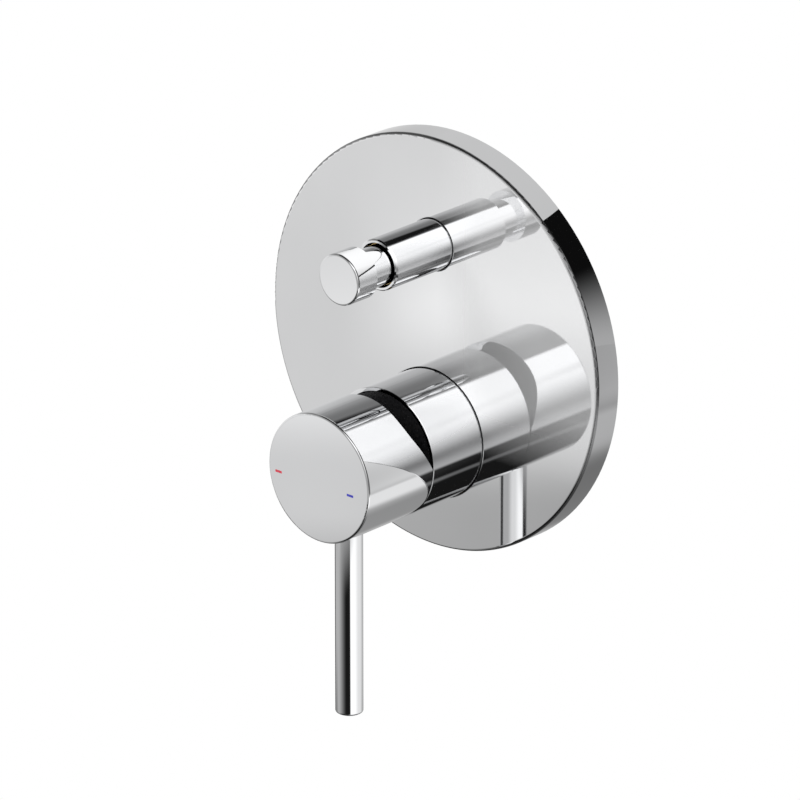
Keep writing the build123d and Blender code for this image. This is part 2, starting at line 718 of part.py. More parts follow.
# Brass body: two hubs and a barrel, a bridge between them, two inlets, two outlet seats
# and two fixing ears
port_boss_r = port_boss_d / 2
port_thread_r = port_thread_d / 2
socket_r = socket_d / 2
bath_seat_z = mixer_z - mixer_hub_d / 2 - seat_land
shower_seat_z = diverter_z + diverter_hub_d / 2 + seat_land
bonnet_socket_r = bonnet_thread_d / 2 + thread_fit
with BuildPart() as valve_body:
    with BuildSketch(facing(mixer_z, body_back)):
        Circle(mixer_hub_d / 2)
    extrude(amount=hub_front - body_back)
    with BuildSketch(facing(mixer_z, hub_front)):
        Circle(barrel_r)
    extrude(amount=barrel_front - hub_front)
    with BuildSketch(facing(diverter_z, body_back)):
        Circle(diverter_hub_d / 2)
    extrude(amount=hub_front - body_back)
    with BuildSketch(facing(0, body_back)):
        with Locations((0, (mixer_z + diverter_z) / 2)):
            Rectangle(bridge_width, diverter_z - mixer_z)
    extrude(amount=bridge_front - body_back)
    with BuildSketch(crosswise(port_out, mixer_z)):
        Circle(port_boss_r)
    extrude(amount=inlet_reach, both=True)
    chamfer(valve_body.edges().group_by(Axis.X)[0], port_edge)
    chamfer(valve_body.edges().group_by(Axis.X)[-1], port_edge)
    with BuildSketch(upright(bath_socket_out, mixer_z)):
        Circle(socket_r)
    extrude(amount=bath_seat_z - mixer_z)
    with BuildSketch(upright(shower_socket_out, diverter_z)):
        Circle(socket_r)
    extrude(amount=shower_seat_z - diverter_z)
    with BuildSketch(facing(ear_z, body_back)):
        SlotCenterToCenter(ear_spacing, ear_width)
    extrude(amount=ear_thickness)
    fillet(valve_body.edges().group_by(Axis.Y)[-1], cast_edge_r)

    # Fixing holes, and the chambers for the cartridge, its nut, the bonnet and the cage
    with BuildSketch(facing(ear_z, body_back)):
        with Locations((-ear_spacing / 2, 0), (ear_spacing / 2, 0)):
            Circle(ear_hole_d / 2)
    extrude(amount=ear_thickness, mode=Mode.SUBTRACT)
    with BuildSketch(half_section(mixer_z)):
        band(cartridge_seat, barrel_front, 0, chamber_r)
        band(housing_shoulder, barrel_front, 0, nut_thread_d / 2 + thread_fit)
    revolve(axis=turning_axis(mixer_z), mode=Mode.SUBTRACT)
    with BuildSketch(half_section(mixer_z)):
        band(
            barrel_seal_out - (sleeve_seal + seal_room) / 2,
            barrel_seal_out + (sleeve_seal + seal_room) / 2,
            barrel_groove_r,
            barrel_r,
        )
    revolve(axis=turning_axis(mixer_z), mode=Mode.SUBTRACT)
    with BuildSketch(facing(mixer_z, cartridge_seat)):
        with Locations((-peg_x, 0), (peg_x, 0)):
            Circle(peg_d / 2 + seat_gap)
    extrude(amount=-(peg_length + seat_gap), mode=Mode.SUBTRACT)
    with BuildSketch(half_section(diverter_z)):
        band(diverter_chamber_back, hub_front, 0, cage_chamber_r)
        band(bonnet_back, hub_front, 0, bonnet_socket_r)
    revolve(axis=turning_axis(diverter_z), mode=Mode.SUBTRACT)

    # Threaded inlets: hot on the left, cold on the right
    for side in (-1, 1):
        with BuildSketch(crosswise(port_out, mixer_z).offset(side * inlet_reach)):
            Circle(port_thread_r)
        extrude(amount=-side * inlet_thread_length, mode=Mode.SUBTRACT)
        with BuildSketch(crosswise(port_out, mixer_z + inlet_port_up).offset(side * inlet_port_x)):
            Circle(gallery_d / 2)
        extrude(amount=side * (inlet_reach - inlet_port_x - port_edge), mode=Mode.SUBTRACT)
        with BuildSketch(facing(mixer_z, cartridge_seat)):
            with Locations((side * inlet_port_x, inlet_port_up)):
                Circle(inlet_port_d / 2)
        extrude(amount=port_out - cartridge_seat, mode=Mode.SUBTRACT)

    # Water ways from the cartridge up to the diverter, and from there to its two outlets
    with BuildSketch(facing(mixer_z, cartridge_seat)):
        with Locations((0, outlet_port_up)):
            Circle(outlet_port_d / 2)
    extrude(amount=riser_out - cartridge_seat, mode=Mode.SUBTRACT)
    with BuildSketch(upright(riser_out, mixer_z + outlet_port_up)):
        Circle(riser_d / 2)
    extrude(amount=diverter_z - mixer_z - outlet_port_up, mode=Mode.SUBTRACT)
    with BuildSketch(upright(shower_way_out, diverter_z)):
        Circle(shower_way_d / 2)
    extrude(amount=shower_seat_z - diverter_z, mode=Mode.SUBTRACT)
    with BuildSketch(upright(bath_way_out, diverter_z)):
        Circle(bath_way_d / 2)
    extrude(amount=bath_seat_z - diverter_z, mode=Mode.SUBTRACT)


def outlet_socket(out, seat_z, length):
    """A threaded socket for a pipe, standing on its seat, up or down by the sign of its length."""
    with BuildPart() as socket:
        with BuildSketch(upright(out, seat_z)):
            Circle(socket_r)
            Circle(port_thread_r, mode=Mode.SUBTRACT)
        extrude(amount=length)
        outer_rims = socket.edges().filter_by(GeomType.CIRCLE).group_by(SortBy.RADIUS)[-1]
        chamfer(outer_rims, socket_edge)
    return socket


# Outlet sockets: bath below, shower above
bath_socket = outlet_socket(bath_socket_out, bath_seat_z, -bath_socket_length)
shower_socket = outlet_socket(shower_socket_out, shower_seat_z, shower_socket_length)

# One file for each piece
pieces = {
    "valve_body": valve_body,
    "bath_socket": bath_socket,
    "shower_socket": shower_socket,
    "wall_plate": wall_plate,
    "wall_seal": wall_seal,
    "plate_mixer_seal": plate_mixer_seal,
    "plate_diverter_seal": plate_diverter_seal,
    "mixer_sleeve": mixer_sleeve,
    "sleeve_o_ring": sleeve_o_ring,
    "handle_cap": handle_cap,
    "hot_mark": hot_mark,
    "cold_mark": cold_mark,
    "lever_pin": lever_pin,
    "handle_grub_screw": handle_grub_screw,
    "cartridge_spindle": cartridge_spindle,
    "cartridge_rotor": cartridge_rotor,
    "spindle_pin": spindle_pin,
    "disc_coupler": disc_coupler,
    "moving_ceramic_disc": moving_ceramic_disc,
    "fixed_ceramic_disc": fixed_ceramic_disc,
    "cartridge_base": cartridge_base,
    "base_seals": base_seals,
    "cartridge_housing": cartridge_housing,
    "cartridge_nut": cartridge_nut,
    "cartridge_cover": cartridge_cover,
    "diverter_sleeve": diverter_sleeve,
    "diverter_sleeve_seal": diverter_sleeve_seal,
    "diverter_bonnet": diverter_bonnet,
    "diverter_stem_seal": diverter_stem_seal,
    "bonnet_gland": bonnet_gland,
    "diverter_knob": diverter_knob,
    "diverter_stem": diverter_stem,
    "front_poppet": front_poppet,
    "front_washer": front_washer,
    "rear_washer": rear_washer,
    "rear_poppet_nut": rear_poppet_nut,
    "return_spring": return_spring,
    "diverter_cage": diverter_cage,
    "cage_seals": cage_seals,
}
os.makedirs("parts", exist_ok=True)
for name, piece in pieces.items():
    piece.part.label = name
    export_step(piece.part, f"parts/{name}.step")
print(len(pieces), "pieces written")
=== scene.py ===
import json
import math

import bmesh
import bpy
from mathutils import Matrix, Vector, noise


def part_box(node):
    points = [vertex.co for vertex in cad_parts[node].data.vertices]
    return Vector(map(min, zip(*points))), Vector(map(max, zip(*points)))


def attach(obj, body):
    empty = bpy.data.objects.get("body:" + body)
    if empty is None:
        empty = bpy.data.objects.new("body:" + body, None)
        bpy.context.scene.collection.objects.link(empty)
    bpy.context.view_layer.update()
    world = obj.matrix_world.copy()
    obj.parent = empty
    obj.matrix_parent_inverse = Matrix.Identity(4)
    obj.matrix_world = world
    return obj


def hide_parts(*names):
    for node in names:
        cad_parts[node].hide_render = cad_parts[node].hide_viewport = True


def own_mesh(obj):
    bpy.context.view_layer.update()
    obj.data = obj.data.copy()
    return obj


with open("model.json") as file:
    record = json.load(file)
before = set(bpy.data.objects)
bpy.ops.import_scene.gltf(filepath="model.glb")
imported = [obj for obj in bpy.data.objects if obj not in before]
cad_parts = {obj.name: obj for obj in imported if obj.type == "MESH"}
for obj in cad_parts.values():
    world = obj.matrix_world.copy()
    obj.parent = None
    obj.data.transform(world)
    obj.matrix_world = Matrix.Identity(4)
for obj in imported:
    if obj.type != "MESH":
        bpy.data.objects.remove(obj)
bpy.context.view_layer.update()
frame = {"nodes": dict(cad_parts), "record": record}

# %% [markdown]
# ## The mixer as it comes from the workshop
# The frame brings in every piece of the tap as a separate mesh: the round wall plate, the handle with
# its lever, the diverter knob, and the brass body with its cartridge behind the wall. Their shapes are
# right already, so this notebook gives them surfaces. It also makes what is better made here: a soft
# foam ring, a wound spring and the threads of the ports. Then it sets up the studio.

nodes = frame["nodes"]

# %% [markdown]
# ## Small tools for finishes
# Each finish below is a Principled shader whose colour, roughness and relief are driven by textures on
# Object coordinates. Those are metres on the piece itself, so the grain keeps its real size and stays
# put when the camera moves. These helpers only save typing.


# %% Helpers for finishes
def new_finish(name, **settings):
    """A material with a Principled shader, its constant sockets set straight away."""
    material = bpy.data.materials.new(name)
    material.use_nodes = True
    shader = material.node_tree.nodes["Principled BSDF"]
    for socket, value in settings.items():
        shader.inputs[socket.replace("_", " ")].default_value = value
    return material, material.node_tree, shader


def on_piece(tree, stretch=(1, 1, 1), shift=(0, 0, 0)):
    """Object coordinates, moved and stretched."""
    place = tree.nodes.new("ShaderNodeTexCoord")
    mapping = tree.nodes.new("ShaderNodeMapping")
    mapping.inputs["Location"].default_value = shift
    mapping.inputs["Scale"].default_value = stretch
    tree.links.new(place.outputs["Object"], mapping.inputs["Vector"])
    return mapping.outputs["Vector"]


def speckle(tree, where, scale, detail=3.0):
    """Cloudy noise between 0 and 1."""
    texture = tree.nodes.new("ShaderNodeTexNoise")
    texture.inputs["Scale"].default_value = scale
    texture.inputs["Detail"].default_value = detail
    tree.links.new(where, texture.inputs["Vector"])
    return texture.outputs["Fac"]


def between(tree, value, low, high, start=0.3, end=0.7):
    """A varying number, spread over a range."""
    spread = tree.nodes.new("ShaderNodeMapRange")
    for socket, number in zip(("From Min", "From Max", "To Min", "To Max"), (start, end, low, high)):
        spread.inputs[socket].default_value = number
    tree.links.new(value, spread.inputs["Value"])
    return spread.outputs["Result"]


def shades(tree, value, dark, light, start=0.3, end=0.7):
    """A varying number, as a blend of two colours."""
    ramp = tree.nodes.new("ShaderNodeValToRGB")
    for stop, place, colour in zip(ramp.color_ramp.elements, (start, end), (dark, light)):
        stop.position = place
        stop.color = (*colour, 1)
    tree.links.new(value, ramp.inputs["Fac"])
    return ramp.outputs["Color"]


def relief(tree, shader, height, strength, depth):
    """Bumps of a given depth in metres."""
    bump = tree.nodes.new("ShaderNodeBump")
    bump.inputs["Strength"].default_value = strength
    bump.inputs["Distance"].default_value = depth
    tree.links.new(height, bump.inputs["Height"])
    tree.links.new(bump.outputs["Normal"], shader.inputs["Normal"])


print("helpers ready")

# %% [markdown]
# ## Chrome
# Everything in front of the wall looks like polished brass, plated with nickel and a thin layer of
# chromium. The plating is a near-perfect mirror with a slightly cool grey tint. What gives it away as
# metal is a trace of haze from the polishing wheel, so the roughness drifts a little over the surface.

# %% Chrome plating
chrome, tree, shader = new_finish("chrome_plating", Metallic=1.0)
haze = speckle(tree, on_piece(tree), 22, 4)
tree.links.new(shades(tree, haze, (0.865, 0.87, 0.88), (0.89, 0.893, 0.90)), shader.inputs["Base Color"])
tree.links.new(between(tree, haze, 0.018, 0.034), shader.inputs["Roughness"])
chromed = ["mixer_sleeve", "handle_cap", "lever_pin", "diverter_sleeve", "diverter_knob"]
finishes = {name: chrome for name in chromed}
print("chrome on", len(chromed), "pieces")

# %% [markdown]
# ## The plate
# The plate is plated as the other pieces are, but in the photograph its right side shows the sleeves
# only faintly. One picture can't tell what causes that, so it is imitated here with painted light: the
# metal turns partly into a plain bright surface, and the mirror image stays crisp and gets lighter.
# This painted pale veil fades out to the left and towards the lower edge. The rounded edge is rougher
# than the face, and painted shade makes edge and rim darker than the face. Both were matched to the
# photograph.


# %% Face, edge and rim
def product(tree, a, b):
    """Two varying numbers, multiplied."""
    node = tree.nodes.new("ShaderNodeMath")
    node.operation = "MULTIPLY"
    tree.links.new(a, node.inputs[0])
    tree.links.new(b, node.inputs[1])
    return node.outputs["Value"]


mm = 0.001
plate_with_painted_light, tree, shader = new_finish("plate_plating_painted_light")
spot = tree.nodes.new("ShaderNodeSeparateXYZ")
tree.links.new(on_piece(tree), spot.inputs["Vector"])
depth = spot.outputs["Y"]
face_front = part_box("wall_plate")[0].y
on_face = between(tree, depth, 1, 0, face_front + 0.1 * mm, face_front + 0.4 * mm)
past_face = between(tree, depth, 0, 1, face_front + 0.04 * mm, face_front + 0.2 * mm)
before_rim = between(tree, depth, 1, 0, face_front + 0.8 * mm, face_front + 1.2 * mm)
on_edge = product(tree, past_face, before_rim)
print("face at", round(face_front, 4), "m, the rim begins about 1 mm behind it")

# %% Plating on the plate, with painted shade and a painted pale veil
cloud = speckle(tree, on_piece(tree), 16, 4)
# Painted shade: the colour is slightly cloudy, darker on the rim than on the face, and darker still on the
# rounded edge.
cloud_and_painted_shade = product(tree, between(tree, on_face, 0.4, 1, 0, 1), between(tree, cloud, 0.93, 1.0))
cloud_and_painted_shade = product(tree, cloud_and_painted_shade, between(tree, on_edge, 1, 0.2, 0, 1))
plate_colour_and_painted_shade = shades(tree, cloud_and_painted_shade, (0.2, 0.201, 0.204), (0.90, 0.903, 0.91), 0, 1)
tree.links.new(plate_colour_and_painted_shade, shader.inputs["Base Color"])
polish = product(tree, between(tree, cloud, 0.02, 0.036), between(tree, on_edge, 1, 9, 0, 1))
tree.links.new(polish, shader.inputs["Roughness"])
# Painted light: on the right of the face the metal gives way to a plain bright surface, a painted pale veil
# that fades out to the left and towards the lower edge.
to_right = between(tree, spot.outputs["X"], 0, 1, 2 * mm, 22 * mm)
above_edge = between(tree, spot.outputs["Z"], 0, 1, -36 * mm, -12 * mm)
painted_pale_veil = product(tree, on_face, product(tree, to_right, above_edge))
tree.links.new(between(tree, painted_pale_veil, 1.0, 0.58, 0, 1), shader.inputs["Metallic"])
finishes["wall_plate"] = plate_with_painted_light
print("plate finish of", len(tree.nodes), "shader nodes")

# %% [markdown]
# ## Brass, cast and turned
# The body is poured into a sand mould, so its skin has the grain of the sand, and its roughness drifts
# with that grain. The nut, the bonnet and the spindles are turned from bar, and the tool leaves fine
# rings: lines along the axis on the sides, circles round the axis on the ends. One recipe with the
# height of the axis serves both controls.

# %% Sand-cast brass
cast_brass, tree, shader = new_finish("sand_cast_brass", Metallic=1.0)
sand = speckle(tree, on_piece(tree), 900, 5)
patches = speckle(tree, on_piece(tree), 60, 3)
tree.links.new(shades(tree, patches, (0.42, 0.28, 0.10), (0.66, 0.47, 0.20)), shader.inputs["Base Color"])
tree.links.new(between(tree, sand, 0.38, 0.58), shader.inputs["Roughness"])
relief(tree, shader, sand, 0.6, 0.2 * mm)
cast_pieces = ("valve_body", "bath_socket", "shower_socket")
for name in cast_pieces:
    finishes[name] = cast_brass
print("cast brass on", len(cast_pieces), "pieces")


# %% Turned brass
def turned_brass(name, axis_height):
    """Brass with the rings that a lathe tool leaves round an axis square to the wall."""
    material, tree, shader = new_finish(name, Metallic=1.0)
    along = speckle(tree, on_piece(tree, (0, 1, 0)), 3500, 2)
    rings = tree.nodes.new("ShaderNodeTexWave")
    rings.wave_type = "RINGS"
    rings.rings_direction = "Y"
    rings.inputs["Scale"].default_value = 900
    tree.links.new(on_piece(tree, shift=(0, 0, -axis_height)), rings.inputs["Vector"])
    both = tree.nodes.new("ShaderNodeMath")
    tree.links.new(along, both.inputs[0])
    tree.links.new(rings.outputs["Fac"], both.inputs[1])
    tint = speckle(tree, on_piece(tree), 150, 2)
    tree.links.new(shades(tree, tint, (0.66, 0.46, 0.18), (0.78, 0.58, 0.28)), shader.inputs["Base Color"])
    tree.links.new(between(tree, along, 0.2, 0.32), shader.inputs["Roughness"])
    relief(tree, shader, both.outputs["Value"], 0.15, 0.03 * mm)
    return material


mixer_height = sum(c.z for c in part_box("mixer_sleeve")) / 2
diverter_height = sum(c.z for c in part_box("diverter_sleeve")) / 2
mixer_brass = turned_brass("turned_brass_mixer", mixer_height)
diverter_brass = turned_brass("turned_brass_diverter", diverter_height)
for name in ("cartridge_nut", "cartridge_spindle"):
    finishes[name] = mixer_brass
for name in ("diverter_bonnet", "bonnet_gland", "diverter_stem", "front_poppet", "rear_poppet_nut"):
    finishes[name] = diverter_brass
print("axes at", round(mixer_height, 4), "and", round(diverter_height, 4))

# %% [markdown]
# ## Steel, rubber and mouldings
# The pivot pin and the grub screw are stainless bar with fine drawing lines, and the spring that is
# wound further down takes the same steel. The seals are matt black rubber with a dusty bloom. The
# cartridge is moulded in white, grey and black plastic, with the faint grain of the mould. The black of
# its housing and cover is also painted shade, for the dark gap between the handle and the sleeve. The
# cartridge's two discs are lapped ceramic, smooth enough to hold back water.

# %% Drawn steel
steel, tree, shader = new_finish("drawn_steel", Metallic=1.0)
lines = speckle(tree, on_piece(tree, (1, 6, 6)), 700, 3)
tree.links.new(shades(tree, lines, (0.50, 0.51, 0.53), (0.66, 0.67, 0.69)), shader.inputs["Base Color"])
tree.links.new(between(tree, lines, 0.2, 0.36), shader.inputs["Roughness"])
relief(tree, shader, lines, 0.15, 0.03 * mm)
steel_pieces = ("spindle_pin", "handle_grub_screw")
for name in steel_pieces:
    finishes[name] = steel
print("drawn steel on", len(steel_pieces), "pieces")

# %% Black rubber
rubber, tree, shader = new_finish("seal_rubber", Specular_IOR_Level=0.35)
dust = speckle(tree, on_piece(tree), 500, 5)
tree.links.new(shades(tree, dust, (0.012, 0.012, 0.013), (0.035, 0.035, 0.036)), shader.inputs["Base Color"])
tree.links.new(between(tree, dust, 0.5, 0.72), shader.inputs["Roughness"])
relief(tree, shader, dust, 0.2, 0.05 * mm)
seals = ("plate_mixer_seal", "plate_diverter_seal", "sleeve_o_ring", "base_seals", "diverter_sleeve_seal",
         "diverter_stem_seal", "front_washer", "rear_washer", "cage_seals")
for name in seals:
    finishes[name] = rubber
print("rubber on", len(seals), "seals and washers")


# %% Moulded plastic and lapped ceramic
def moulded(name, dark, light, rough, grain, depth):
    """A moulding: nearly one colour, with the fine grain that the mould or the lap leaves."""
    material, tree, shader = new_finish(name)
    skin = speckle(tree, on_piece(tree), grain, 4)
    tree.links.new(shades(tree, skin, dark, light), shader.inputs["Base Color"])
    tree.links.new(between(tree, skin, rough - 0.06, rough + 0.06), shader.inputs["Roughness"])
    relief(tree, shader, skin, 0.15, depth)
    return material


white_plastic = moulded("white_moulding", (0.70, 0.70, 0.67), (0.76, 0.76, 0.73), 0.42, 900, 0.03 * mm)
grey_plastic = moulded("grey_moulding", (0.30, 0.31, 0.33), (0.36, 0.37, 0.39), 0.42, 900, 0.03 * mm)
black_plastic_and_gap_shade = moulded("black_moulding_and_gap_shade", (0.008, 0.008, 0.009), (0.016, 0.016, 0.017), 0.3, 900, 0.02 * mm)
ceramic = moulded("lapped_ceramic", (0.80, 0.79, 0.75), (0.86, 0.85, 0.81), 0.16, 1600, 0.01 * mm)
for name in ("cartridge_base", "diverter_cage"):
    finishes[name] = white_plastic
# Painted shade: the housing and the cover are black plastic, and their black also stands in for the shade in
# the gap between the handle and the sleeve.
for name in ("cartridge_housing", "cartridge_cover"):
    finishes[name] = black_plastic_and_gap_shade
for name in ("cartridge_rotor", "disc_coupler"):
    finishes[name] = grey_plastic
for name in ("moving_ceramic_disc", "fixed_ceramic_disc"):
    finishes[name] = ceramic
print("finishes for", len(finishes), "pieces so far")

# %% [markdown]
# ## Hot and cold marks
# Two short strokes mark the handle's face, red for hot on the left and blue for cold on the right. They
# are made here as enamel in an engraved groove. Enamel is glossy and never quite even, so its colour
# varies slightly.


# %% Red and blue enamel
def enamel(name, dark, light):
    """Glossy colour in an engraved stroke."""
    material, tree, shader = new_finish(name, Coat_Weight=0.3)
    flow = speckle(tree, on_piece(tree), 700, 2)
    tree.links.new(shades(tree, flow, dark, light), shader.inputs["Base Color"])
    tree.links.new(between(tree, flow, 0.22, 0.34), shader.inputs["Roughness"])
    return material


finishes["hot_mark"] = enamel("red_enamel", (0.62, 0.02, 0.05), (0.76, 0.05, 0.09))
finishes["cold_mark"] = enamel("blue_enamel", (0.03, 0.03, 0.42), (0.06, 0.07, 0.56))
print("marks in", finishes["hot_mark"].name, "and", finishes["cold_mark"].name)

# %% [markdown]
# ## Putting the finishes on
# Every mesh from the frame keeps its place and shape. Each one with a finish chosen above gets it in
# the slots it has, and the rest are printed as still plain.

# %% Finishes on the pieces
for name, material in finishes.items():
    piece = nodes[name]
    if not piece.data.materials:
        piece.data.materials.append(material)
    for place in piece.material_slots:
        place.material = material
print("still plain:", sorted(set(nodes) - set(finishes)))

# %% [markdown]
# ## Foam ring behind the plate
# A ring cut from closed-cell foam keeps splashes out of the wall. Foam is never as sharp as metal: its
# edges are soft and its faces dip a little, so the ring is made anew here. A rectangle is spun round
# the plate's axis and the ring's four edges are bevelled round. Then each point is pushed in by up to a
# quarter of a millimetre of noise.

# %% Size of the ring
ring_points = [vertex.co for vertex in nodes["wall_seal"].data.vertices]
ring_radii = [math.hypot(point.x, point.z) for point in ring_points]
ring_depths = [point.y for point in ring_points]
inner, outer = min(ring_radii), max(ring_radii)
front, back = min(ring_depths), max(ring_depths)
print("ring from", round(inner, 4), "to", round(outer, 4), "m, thick", round(back - front, 4), "m")

# %% Spinning the ring
ring_steps = 160
ring_mesh = bmesh.new()
rectangle = ((inner, front), (outer, front), (outer, back), (inner, back))
section = [ring_mesh.verts.new((r, y, 0)) for r, y in rectangle]
section += [ring_mesh.edges.new(pair) for pair in zip(section, section[1:] + section[:1])]
bmesh.ops.spin(ring_mesh, geom=section, cent=(0, 0, 0), axis=(0, 1, 0), angle=math.tau,
               steps=ring_steps, use_merge=True)
bmesh.ops.remove_doubles(ring_mesh, verts=ring_mesh.verts, dist=0.001 * mm)
bmesh.ops.recalc_face_normals(ring_mesh, faces=ring_mesh.faces)
print("ring section spun in", ring_steps, "steps,", len(ring_mesh.faces), "faces")

# %% Soft edges and dips
soft_edge = 1.2 * mm
crease = math.radians(35)
corners = [line for line in ring_mesh.edges if line.calc_face_angle() > crease]
bmesh.ops.bevel(ring_mesh, geom=corners, offset=soft_edge, offset_type="OFFSET", segments=5, profile=0.5,
                affect="EDGES", material=-1)
dip = 0.25 * mm
dips_per_metre = 180
for vertex in ring_mesh.verts:
    vertex.co -= vertex.normal * dip * (0.5 + 0.5 * noise.noise(vertex.co * dips_per_metre))
foam_ring_data = bpy.data.meshes.new("foam_ring")
ring_mesh.to_mesh(foam_ring_data)
ring_mesh.free()
foam_ring_data.shade_smooth()
foam_ring = bpy.data.objects.new("foam_ring", foam_ring_data)
bpy.context.scene.collection.objects.link(foam_ring)
print("foam ring:", len(foam_ring_data.polygons), "faces")

# %% Foam with its cells
foam, tree, shader = new_finish("closed_cell_foam", Specular_IOR_Level=0.25)
cells_per_metre = 1300
cells = tree.nodes.new("ShaderNodeTexVoronoi")
cells.inputs["Scale"].default_value = cells_per_metre
tree.links.new(on_piece(tree), cells.inputs["Vector"])
wall = cells.outputs["Distance"]
skin = shades(tree, wall, (0.035, 0.035, 0.038), (0.085, 0.085, 0.09), 0.1, 0.6)
tree.links.new(skin, shader.inputs["Base Color"])
tree.links.new(between(tree, wall, 0.75, 0.92, 0.0, 0.6), shader.inputs["Roughness"])
relief(tree, shader, wall, 0.5, 0.3 * mm)
foam_ring_data.materials.append(foam)
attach(foam_ring, "valve")
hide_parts("wall_seal")
print("foam cells about", round(1 / cells_per_metre / mm, 1), "mm across")

# %% [markdown]
# ## Threads in the four ports
# The supply pipes screw in left and right, the bath pipe below and the shower pipe above. A half-inch
# pipe thread has 14 turns to the inch. Each one is a ridge with a rounded crest, swept round the bore
# while it climbs, as the threading tool does. It starts a little inside the mouth, as real ones do.

# %% A ridge that climbs round a bore
inch = 0.0254
turns_per_inch = 14
pitch = inch / turns_per_inch
ridge_height = 1.16 * mm
turn_steps = 40


def port_thread(name, mouth, inward, radius, length):
    """A half-inch thread from just inside a port's mouth, along its bore."""
    foot, shoulder = pitch * 0.46, pitch * 0.1
    crest_r, shoulder_r = radius - ridge_height, radius - ridge_height * 0.86
    profile = [(radius, -foot), (shoulder_r, -shoulder), (crest_r, 0), (shoulder_r, shoulder), (radius, foot)]
    turns = (length - 2 * pitch) / pitch
    steps = round(turns * turn_steps)
    mesh = bmesh.new()
    points = [mesh.verts.new((r, 0, z + pitch)) for r, z in profile]
    line = [mesh.edges.new(pair) for pair in zip(points, points[1:] + points[:1])]
    mesh.faces.new(points)
    bmesh.ops.spin(mesh, geom=points + line, cent=(0, 0, 0), axis=(0, 0, 1), dvec=(0, 0, pitch / turn_steps),
                   angle=math.tau * steps / turn_steps, steps=steps)
    ends = [edge for edge in mesh.edges if edge.is_boundary]
    bmesh.ops.holes_fill(mesh, edges=ends, sides=0)
    bmesh.ops.recalc_face_normals(mesh, faces=mesh.faces)
    aim = Vector((0, 0, 1)).rotation_difference(Vector(inward)).to_matrix().to_4x4()
    mesh.transform(Matrix.Translation(mouth) @ aim)
    data = bpy.data.meshes.new(name)
    mesh.to_mesh(data)
    mesh.free()
    data.shade_smooth()
    data.set_sharp_from_angle(angle=crease)
    data.materials.append(cast_brass)
    thread = bpy.data.objects.new(name, data)
    bpy.context.scene.collection.objects.link(thread)
    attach(thread, "valve")
    return thread


print("thread pitch", round(pitch / mm, 3), "mm")

# %% The four threads
ports = {mount["name"]: mount for mount in frame["record"]["mounts"] if mount["kind"] == "threaded_hole"}
for name, mount in ports.items():
    outward = Vector(mount["axis"])
    radius, length = mount["dims"]["r_mm"] * mm, mount["dims"]["length_mm"] * mm
    mouth = Vector(mount["pos_m"]) + outward * length / 2
    thread = port_thread(name + "_thread", mouth, -outward, radius, length)
    print(thread.name, "faces", len(thread.data.polygons))

# %% [markdown]
# ## The diverter's return spring
# When the knob is pulled, the collar on its stem pushes this spring together against the gland. A CAD
# piece keeps its length, so the spring is wound here as one wire: a small circle of wire, spun round
# the stem while it moves along.

# %% Winding the spring
low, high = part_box("return_spring")
stem_height = (low.z + high.z) / 2
wire_radius = 0.45 * mm
coil_radius = (high.x - low.x) / 2 - wire_radius
turns = 6
steps = turns * 36
lead = (high.y - low.y - 2 * wire_radius) / steps
wire_mesh = bmesh.new()
wire_start = Matrix.Translation((coil_radius, high.y - wire_radius, stem_height))
bmesh.ops.create_circle(wire_mesh, cap_ends=True, segments=12, radius=wire_radius, matrix=wire_start)
bmesh.ops.spin(wire_mesh, geom=wire_mesh.verts[:] + wire_mesh.edges[:], cent=(0, 0, stem_height),
               axis=(0, 1, 0), dvec=(0, -lead, 0), angle=math.tau * turns, steps=steps)
wire_end = [edge for edge in wire_mesh.edges if edge.is_boundary]
bmesh.ops.holes_fill(wire_mesh, edges=wire_end, sides=0)
bmesh.ops.recalc_face_normals(wire_mesh, faces=wire_mesh.faces)
print("wire of", len(wire_mesh.faces), "faces in", turns, "turns")

# %% The spring as a piece
spring_data = bpy.data.meshes.new("wound_spring")
wire_mesh.to_mesh(spring_data)
wire_mesh.free()
spring_data.shade_smooth()
spring_data.set_sharp_from_angle(angle=crease)
spring_data.materials.append(steel)
spring = bpy.data.objects.new("wound_spring", spring_data)
bpy.context.scene.collection.objects.link(spring)
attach(spring, "valve")
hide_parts("return_spring")
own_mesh(spring)

# %% [markdown]
# ## The studio
# Chrome has no colour of its own: it shows the room. Product photographers put it in a light tent, a
# white shell with bright softboxes and a few black cards, because the dark bands draw its form. Our
# tent is a sphere that only reflections can see. Its glow is painted by direction: azimuth 0 is straight
# in front of the plate, positive is to the right, and elevation is up. Rays were followed from the
# photograph's view over the chrome to the tent, to find where each card belongs.

# %% The tent
tent_radius = 0.6
tent_mesh = bmesh.new()
bmesh.ops.create_uvsphere(tent_mesh, u_segments=96, v_segments=48, radius=tent_radius)
tent_data = bpy.data.meshes.new("light_tent")
tent_mesh.to_mesh(tent_data)
tent_mesh.free()
tent = bpy.data.objects.new("light_tent", tent_data)
bpy.context.scene.collection.objects.link(tent)
tent.visible_camera = False
tent.visible_diffuse = False
tent.visible_shadow = False
tent_glow = bpy.data.materials.new("tent_glow")
tent_glow.use_nodes = True
tent_tree = tent_glow.node_tree
tent_tree.nodes.clear()
tent_data.materials.append(tent_glow)
print("tent radius", tent_radius, "m")


# %% Arithmetic on the tent
def number(operation, a, b=0.0):
    """One step of arithmetic in the tent's material."""
    node = tent_tree.nodes.new("ShaderNodeMath")
    node.operation = operation
    for socket, value in zip(node.inputs, (a, b)):
        if isinstance(value, (int, float)):
            socket.default_value = value
        else:
            tent_tree.links.new(value, socket)
    return node.outputs["Value"]


